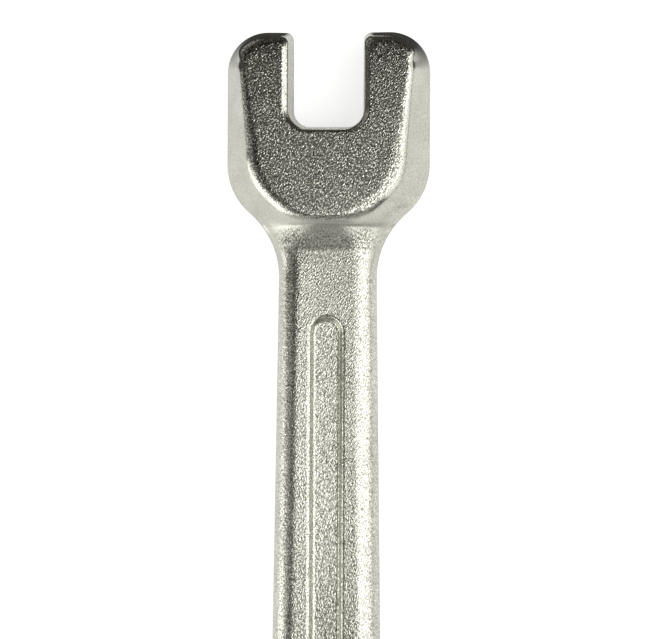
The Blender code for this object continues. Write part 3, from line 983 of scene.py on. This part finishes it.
def white_table():
    """A square under the wrench; its tone depends on the kind of ray and on being past the tips."""
    material = bpy.data.materials.new("white_table")
    graph = Graph(material)
    place = graph.node("TexCoord", {}, "Object")
    along = graph.node("SeparateXYZ", {}, "Y", Vector=place)
    aside = abs(graph.node("SeparateXYZ", {}, "X", Vector=place))
    mirrored = graph.node("LightPath", {}, "Is Glossy Ray")
    seen = graph.node("LightPath", {}, "Is Camera Ray")
    # Painted light: behind the open jaw the table stays bright for mirror rays, standing for light that falls
    # through the jaw.
    beside_jaw = ((aside - JAW_LIGHT_HALF) / JAW_LIGHT_FADE).clamped()
    past_tips = ((along - DARK_FROM) / DARK_FADE).clamped() * beside_jaw

    mirrored_glow = graph.mix(past_tips, grey(TABLE_GLOW), grey(DARK_STUDIO))
    mirrored_paint = graph.mix(past_tips, grey(TABLE_PAINT), grey(DARK_STUDIO))
    glow = graph.mix(mirrored, grey(0), mirrored_glow)
    shader = material.node_tree.nodes["Principled BSDF"].inputs
    graph.fill(shader["Base Color"], graph.mix(mirrored, grey(TABLE_PAINT), mirrored_paint))
    graph.fill(shader["Emission Color"], graph.mix(seen, glow, grey(TABLE_SEEN)))
    graph.fill(shader["Emission Strength"], 1.0)
    graph.fill(shader["Roughness"], TABLE_ROUGHNESS)
    graph.fill(shader["Specular IOR Level"], 0.0)
    return material


half = TABLE_SIZE / 2
table_corners = np.array([(-half, -half, 0), (half, -half, 0), (half, half, 0), (-half, half, 0)])
table = put_in_scene("table", new_mesh("table", table_corners - (0, 0, TABLE_GAP), np.array([[0, 1, 2, 3]])))
table.data.materials.append(white_table())
print(f"table {TABLE_SIZE:.0f} m square")

# %% [markdown]
# ## The camera
# The wrench is seen from straight above, a few degrees from its right side, and its far end is out of the
# frame. The camera could be moved by hand until the picture fits. Instead, the size of a pixel on the pad,
# the row of the tips and the column of the wrench's middle give its place, and the lens follows from the
# distance.

# %% Camera
IMAGE_WIDTH = 666
IMAGE_HEIGHT = 639
PIXEL = 0.292e-3
DISTANCE = 0.70
TIP_ROW = 33
AXIS_COLUMN = 327.7
ORBIT = math.radians(4.5)
ROLL = math.radians(0.25)
SENSOR = 36

target = Vector((
    (IMAGE_WIDTH / 2 - AXIS_COLUMN) * PIXEL,
    LENGTH / 2 - (IMAGE_HEIGHT / 2 - TIP_ROW) * PIXEL,
    HEAD_HALF,
))
camera = bpy.data.cameras.new("camera")
camera.sensor_width = SENSOR
camera.lens = SENSOR * DISTANCE / (IMAGE_WIDTH * PIXEL)
eye = put_in_scene("camera", camera)
eye.matrix_world = (
    Matrix.Translation(target)
    @ Matrix.Rotation(ORBIT, 4, "Y")
    @ Matrix.Rotation(ROLL, 4, "Z")
    @ Matrix.Translation((0, 0, DISTANCE))
)
bpy.context.scene.camera = eye
print(f"lens {camera.lens:.0f} mm, {DISTANCE:.2f} m above the pad")

# %% [markdown]
# ## The studio's soft panels
# Steel shows its surroundings, so each tone on it is a panel that some face mirrors. One big light from the
# right whitens the right-hand edges, and a small one overhead the handle's faces. The neck's slope mirrors a
# dim wall beyond the handle's end, and the handle's left edges the panels on the left. A dim panel at the
# rear left keeps the upper faces from turning black when they are seen from the other end. An environment
# image would do all this in one step, but it couldn't be adjusted face by face.

# %% Panels
def soft_panel(name, place, aim, width, height, radiance):
    """A rectangular light facing aim; power = radiance pi width height, as a flat white panel gives off."""
    light = bpy.data.lights.new(name, "AREA")
    light.shape = "RECTANGLE"
    light.size = width
    light.size_y = height
    light.energy = radiance * math.pi * width * height
    made = put_in_scene(name, light)
    made.location = place
    made.rotation_euler = (Vector(aim) - Vector(place)).to_track_quat("-Z", "Y").to_euler()
    made.visible_camera = False


PANELS = {
    "key": dict(
        place=(0.633, -0.006, 0.841), aim=(-0.007, 0.224, 0.041), width=1.07, height=0.92, radiance=1.9,
    ),
    "key_low": dict(place=(0.93, -0.05, 0.30), aim=(0, 0.05, 0), width=1.4, height=0.44, radiance=1.2),
    "overhead": dict(
        place=(0.075, -0.015, 0.85), aim=(0.075, -0.015, 0), width=0.29, height=0.29, radiance=2.2,
    ),
    "far_wall": dict(place=(0, -0.76, 0.72), aim=(0, 0.1, 0), width=1.6, height=0.53, radiance=0.23),
    "far_low": dict(place=(0, -1.05, 0.26), aim=(0, 0.1, 0), width=1.7, height=0.46, radiance=0.50),
    "far_top": dict(place=(0, -0.40, 0.976), aim=(0, 0.1, 0), width=1.2, height=0.29, radiance=0.10),
    "left_high": dict(place=(-0.66, -0.43, 0.42), aim=(0, -0.10, 0), width=0.66, height=0.42, radiance=1.7),
    "left_low": dict(place=(-0.80, -0.35, 0.17), aim=(0, -0.25, 0), width=0.9, height=0.30, radiance=1.8),
    "left_fill": dict(place=(-0.72, -0.24, 0.66), aim=(0, -0.24, 0), width=0.72, height=0.60, radiance=0.45),
    "rear_left": dict(place=(-0.78, 0.80, 0.50), aim=(0, 0, 0), width=1.0, height=0.46, radiance=0.35),
}
for name, panel in PANELS.items():
    soft_panel(name, **panel)
print("panels:", len(PANELS))

# %% [markdown]
# ## The world behind the panels
# The background is plain white for the camera. For the steel it is a dim, warm grey, like a studio's unlit
# walls, and for matt things it is an even, weak light. Three worlds can't be mixed in one picture, but one
# Background node serves all three kinds of ray, because Light Path tells which kind is asking.

# %% World
DIFFUSE_SKY = 0.4
MIRRORED_SKY = (0.06, 0.058, 0.048, 1)

world = bpy.data.worlds.new("studio")
bpy.context.scene.world = world
sky = Graph(world)
mirrored_sky = sky.mix(sky.node("LightPath", {}, "Is Glossy Ray"), grey(DIFFUSE_SKY), MIRRORED_SKY)
seen_sky = sky.mix(sky.node("LightPath", {}, "Is Camera Ray"), mirrored_sky, grey(1))
sky.fill(world.node_tree.nodes["Background"].inputs["Color"], seen_sky)
bpy.context.scene.view_settings.view_transform = "Standard"
print("world nodes:", len(world.node_tree.nodes))

# %% [markdown]
# ## Sizes, and the end
# The skin has to stay as large as the solid.
